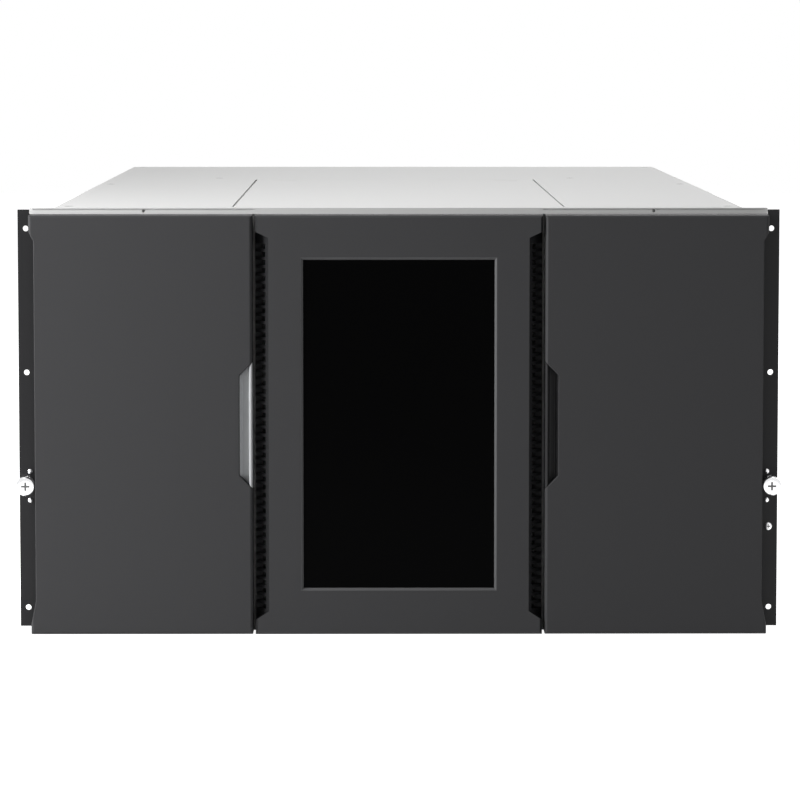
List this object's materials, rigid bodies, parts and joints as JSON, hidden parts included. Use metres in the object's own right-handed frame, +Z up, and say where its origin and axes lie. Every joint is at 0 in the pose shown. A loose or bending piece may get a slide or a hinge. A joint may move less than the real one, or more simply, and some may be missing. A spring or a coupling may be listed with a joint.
{
  "type": "data tape library",
  "caption": "Rack-mounted data tape library with two pull-out magazines, a central touch screen, a lift robot in the aisle, rear drives and supplies.",
  "frame": {"origin": "under the middle of the part, on the surface it stands on", "axes": "+X to the right seen from the front, +Y to the back, +Z up; the screen faces -Y"},
  "size_m": [0.4772, 0.88, 0.2656],
  "materials": {
    "cover_paint": "satin",
    "sheet_metal": "satin",
    "black_paint": "satin",
    "dark_screw": "satin",
    "bright_metal": "polished",
    "bezel_plastic": "fine grain",
    "screen_trim": "satin",
    "screen_glass": "gloss",
    "display_can": "satin",
    "silver_handle": "satin",
    "dark_handle": "satin",
    "tray_plastic": "fine grain",
    "tape_shell": "satin",
    "rack_steel": "satin",
    "shaft_steel": "polished",
    "robot_alloy": "satin",
    "motor_case": "satin",
    "picker_plastic": "satin",
    "drive_case": "satin",
    "sled_steel": "satin",
    "psu_steel": "satin",
    "fan_plastic": "satin",
    "lever_plastic": "satin",
    "controller_metal": "satin",
    "port_plastic": "satin"
  },
  "bodies": {
    "cabinet": {"base_pan": "sheet_metal", "left_side_panel": "sheet_metal", "right_side_panel": "sheet_metal", "rear_panel": "sheet_metal", "front_frame": "cover_paint", "top_cover": "cover_paint", "centre_cover": "cover_paint", "cover_screws": "dark_screw", "left_rack_ear": "black_paint", "right_rack_ear": "black_paint", "ear_rivets": "bright_metal", "thumbscrew_sleeves": "bright_metal", "centre_bezel": "bezel_plastic", "screen_trim": "screen_trim", "screen_glass": "screen_glass", "display_panel": "display_can", "left_guide_rails": "sheet_metal", "right_guide_rails": "sheet_metal", "lift_racks": "rack_steel", "tape_drive_1": "drive_case", "tape_drive_2": "drive_case", "tape_drive_3": "drive_case", "tape_drive_4": "drive_case", "tape_drive_5": "drive_case", "tape_drive_6": "drive_case", "drive_sled_1": "sled_steel", "drive_sled_2": "sled_steel", "drive_sled_3": "sled_steel", "drive_sled_4": "sled_steel", "drive_sled_5": "sled_steel", "drive_sled_6": "sled_steel", "controller": "controller_metal", "controller_ports": "port_plastic", "rear_thumbscrews": "bright_metal"},
    "left_thumbscrew": {"left_thumbscrew": "bright_metal"},
    "right_thumbscrew": {"right_thumbscrew": "bright_metal"},
    "left_magazine": {"left_magazine_bezel": "bezel_plastic", "left_handle": "silver_handle", "left_magazine_tray": "tray_plastic", "mail_slot_tray": "tray_plastic", "left_tapes": "tape_shell"},
    "right_magazine": {"right_magazine_bezel": "bezel_plastic", "right_handle": "dark_handle", "right_magazine_tray": "tray_plastic", "right_tapes": "tape_shell"},
    "lift": {"lift_platform": "robot_alloy", "platform_rods": "shaft_steel", "lift_motor": "motor_case"},
    "front_shaft": {"front_lift_shaft": "shaft_steel"},
    "rear_shaft": {"rear_lift_shaft": "shaft_steel"},
    "carriage": {"carriage": "robot_alloy"},
    "picker": {"turntable": "robot_alloy", "picker_housing": "picker_plastic"},
    "gripper": {"gripper": "robot_alloy"},
    "supply_1": {"psu_1": "psu_steel"},
    "supply_2": {"psu_2": "psu_steel"},
    "fan_1": {"psu_fan_1": "fan_plastic"},
    "fan_2": {"psu_fan_2": "fan_plastic"},
    "lever_1": {"psu_lever_1": "lever_plastic"},
    "lever_2": {"psu_lever_2": "lever_plastic"}
  },
  "joints": [
    {"name": "left_magazine_slide", "type": "slide", "parent": "cabinet", "child": "left_magazine", "axis": [0, -1, 0], "range_m": [0, 0.55]},
    {"name": "right_magazine_slide", "type": "slide", "parent": "cabinet", "child": "right_magazine", "axis": [0, -1, 0], "range_m": [0, 0.55]},
    {"name": "left_thumbscrew_turn", "type": "hinge", "parent": "cabinet", "child": "left_thumbscrew", "pos_m": [-0.23255, -0.418, 0.0928], "axis": [0, 1, 0], "continuous": true},
    {"name": "right_thumbscrew_turn", "type": "hinge", "parent": "cabinet", "child": "right_thumbscrew", "pos_m": [0.23255, -0.418, 0.0928], "axis": [0, 1, 0], "continuous": true},
    {"name": "lift_slide", "type": "slide", "parent": "cabinet", "child": "lift", "axis": [0, 0, 1], "range_m": [0, 0.2023]},
    {"name": "front_shaft_turn", "type": "hinge", "parent": "lift", "child": "front_shaft", "pos_m": [0, -0.4038, 0.011], "axis": [1, 0, 0], "range_deg": [0, 1660]},
    {"name": "rear_shaft_turn", "type": "hinge", "parent": "lift", "child": "rear_shaft", "pos_m": [0, 0.1738, 0.011], "axis": [1, 0, 0], "range_deg": [-1660, 0]},
    {"name": "carriage_slide", "type": "slide", "parent": "lift", "child": "carriage", "axis": [0, 1, 0], "range_m": [-0.22, 0.22]},
    {"name": "picker_turn", "type": "hinge", "parent": "carriage", "child": "picker", "pos_m": [0, -0.1275, 0.017], "axis": [0, 0, 1], "range_deg": [-90, 90]},
    {"name": "gripper_slide", "type": "slide", "parent": "picker", "child": "gripper", "axis": [0, 1, 0], "range_m": [0, 0.04]},
    {"name": "supply_1_slide", "type": "slide", "parent": "cabinet", "child": "supply_1", "axis": [0, 1, 0], "range_m": [0, 0.195]},
    {"name": "fan_1_turn", "type": "hinge", "parent": "supply_1", "child": "fan_1", "pos_m": [0.16325, 0.412, 0.07453], "axis": [0, 1, 0], "continuous": true},
    {"name": "lever_1_turn", "type": "hinge", "parent": "supply_1", "child": "lever_1", "pos_m": [0.18325, 0.4259, 0.04053], "axis": [-1, 0, 0], "range_deg": [0, 75]},
    {"name": "supply_2_slide", "type": "slide", "parent": "cabinet", "child": "supply_2", "axis": [0, 1, 0], "range_m": [0, 0.195]},
    {"name": "fan_2_turn", "type": "hinge", "parent": "supply_2", "child": "fan_2", "pos_m": [0.16325, 0.412, 0.19107], "axis": [0, 1, 0], "continuous": true},
    {"name": "lever_2_turn", "type": "hinge", "parent": "supply_2", "child": "lever_2", "pos_m": [0.18325, 0.4259, 0.15707], "axis": [-1, 0, 0], "range_deg": [0, 75]}
  ],
  "couplings": [
    {"joint": "front_shaft_turn", "follows": "lift_slide", "rad_per_m": 142.86},
    {"joint": "rear_shaft_turn", "follows": "lift_slide", "rad_per_m": -142.86}
  ]
}
